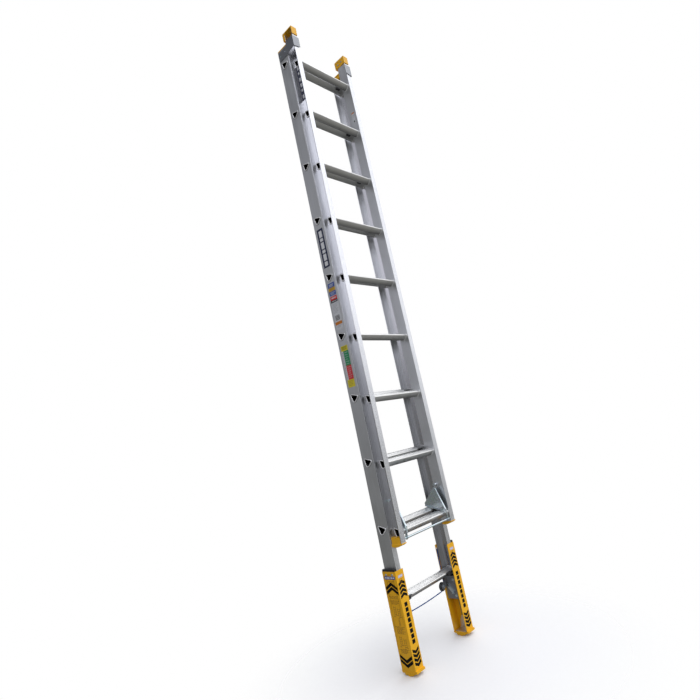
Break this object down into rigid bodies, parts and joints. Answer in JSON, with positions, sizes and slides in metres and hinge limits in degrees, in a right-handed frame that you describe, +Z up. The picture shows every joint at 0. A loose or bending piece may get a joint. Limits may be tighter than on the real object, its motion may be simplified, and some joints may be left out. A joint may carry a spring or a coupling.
{
  "type": "extension ladder",
  "caption": "Two-section sliding extension ladder with D-shaped rungs, sprung rung locks, guide brackets, end caps and a pair of cord-linked self-levelling feet.",
  "frame": {"origin": "centre of the ladder's footprint, on the plane that its two feet rest on, with the ladder stood upright", "axes": "+Z up along the stiles, +X to the climber's right, -Y towards the climber and the sliding section, +Y towards the wall"},
  "size_m": [0.4692, 0.1374, 3.217],
  "materials": {
    "base_alloy": "mill finish, lightly brushed",
    "fly_alloy": "mill finish, lightly brushed",
    "rung_alloy": "satin, ribbed tread",
    "yellow_plastic": "moulded, fine grain",
    "bracket_alloy": "cast, satin",
    "black_nylon": "moulded, matte",
    "zinc_steel": "zinc plated",
    "dark_steel": "dark plated",
    "blue_cord": "braided",
    "yellow_paint": "powder coat, semi-gloss",
    "foot_rubber": "moulded, matte",
    "pulley_nylon": "moulded"
  },
  "bodies": {
    "base": {"base_stile_left": "base_alloy", "base_stile_right": "base_alloy", "base_rung_1": "rung_alloy", "base_rung_2": "rung_alloy", "base_rung_3": "rung_alloy", "base_rung_4": "rung_alloy", "base_rung_5": "rung_alloy", "base_rung_6": "rung_alloy", "base_rung_7": "rung_alloy", "base_rung_8": "rung_alloy", "base_rung_9": "rung_alloy", "base_rung_10": "rung_alloy", "base_caps": "yellow_plastic", "guide_bracket_left": "bracket_alloy", "guide_bracket_right": "bracket_alloy", "leveller_bracket_left": "bracket_alloy", "leveller_bracket_right": "bracket_alloy", "leg_guides": "black_nylon", "rung_pads": "black_nylon", "base_fasteners": "zinc_steel", "pulley_axles": "zinc_steel", "cord_cross": "blue_cord", "cord_left": "blue_cord", "cord_right": "blue_cord"},
    "fly": {"fly_stile_left": "fly_alloy", "fly_stile_right": "fly_alloy", "fly_rung_1": "rung_alloy", "fly_rung_2": "rung_alloy", "fly_rung_3": "rung_alloy", "fly_rung_4": "rung_alloy", "fly_rung_5": "rung_alloy", "fly_rung_6": "rung_alloy", "fly_rung_7": "rung_alloy", "fly_rung_8": "rung_alloy", "fly_rung_9": "rung_alloy", "fly_top_cap_left": "yellow_plastic", "fly_top_cap_right": "yellow_plastic", "fly_foot_cap_left": "yellow_plastic", "fly_foot_cap_right": "yellow_plastic", "fly_hooks": "black_nylon", "fly_rivets": "zinc_steel", "lock_studs": "zinc_steel", "lock_springs": "zinc_steel"},
    "rung_locks": {"lock_plate_left": "zinc_steel", "lock_plate_right": "zinc_steel", "lock_rod": "zinc_steel"},
    "left_leg": {"leg_channel_left": "yellow_paint", "leg_collar_left": "black_nylon", "leg_foot_left": "foot_rubber", "foot_bracket_left": "bracket_alloy", "brake_strip_left": "dark_steel"},
    "right_leg": {"leg_channel_right": "yellow_paint", "leg_collar_right": "black_nylon", "leg_foot_right": "foot_rubber", "foot_bracket_right": "bracket_alloy", "brake_strip_right": "dark_steel"},
    "left_pulley": {"pulley_left": "pulley_nylon"},
    "right_pulley": {"pulley_right": "pulley_nylon"},
    "left_brake": {"brake_lever_left": "zinc_steel"},
    "right_brake": {"brake_lever_right": "zinc_steel"}
  },
  "joints": [
    {"name": "fly_slide", "type": "slide", "parent": "base", "child": "fly", "axis": [0, 0, 1], "range_m": [0, 1.83]},
    {"name": "rung_lock_swing", "type": "hinge", "parent": "fly", "child": "rung_locks", "pos_m": [0, -0.0566, 0.555], "axis": [1, 0, 0], "range_deg": [0, 50], "stiffness_Nm_per_rad": 0.15, "springref_deg": -34.38},
    {"name": "left_leg_slide", "type": "slide", "parent": "base", "child": "left_leg", "axis": [0, 0, 1], "range_m": [-0.08, 0.08], "deforming": ["cord_left"]},
    {"name": "right_leg_slide", "type": "slide", "parent": "base", "child": "right_leg", "axis": [0, 0, 1], "range_m": [-0.08, 0.08], "deforming": ["cord_right"]},
    {"name": "left_pulley_spin", "type": "hinge", "parent": "base", "child": "left_pulley", "pos_m": [-0.156, 0.0614, 0.235], "axis": [0, 1, 0], "range_deg": [-250, 250]},
    {"name": "right_pulley_spin", "type": "hinge", "parent": "base", "child": "right_pulley", "pos_m": [0.156, 0.0614, 0.235], "axis": [0, 1, 0], "range_deg": [-250, 250]},
    {"name": "left_brake_swing", "type": "hinge", "parent": "base", "child": "left_brake", "pos_m": [-0.2, 0.0489, 0.233], "axis": [1, 0, 0], "range_deg": [-20, 0], "stiffness_Nm_per_rad": 0.05, "springref_deg": 17.19},
    {"name": "right_brake_swing", "type": "hinge", "parent": "base", "child": "right_brake", "pos_m": [0.2, 0.0489, 0.233], "axis": [1, 0, 0], "range_deg": [-20, 0], "stiffness_Nm_per_rad": 0.05, "springref_deg": 17.19}
  ],
  "couplings": [
    {"joint": "right_leg_slide", "follows": "left_leg_slide", "ratio": -1},
    {"joint": "left_pulley_spin", "follows": "left_leg_slide", "rad_per_m": 54.054},
    {"joint": "right_pulley_spin", "follows": "left_leg_slide", "rad_per_m": 54.054}
  ]
}
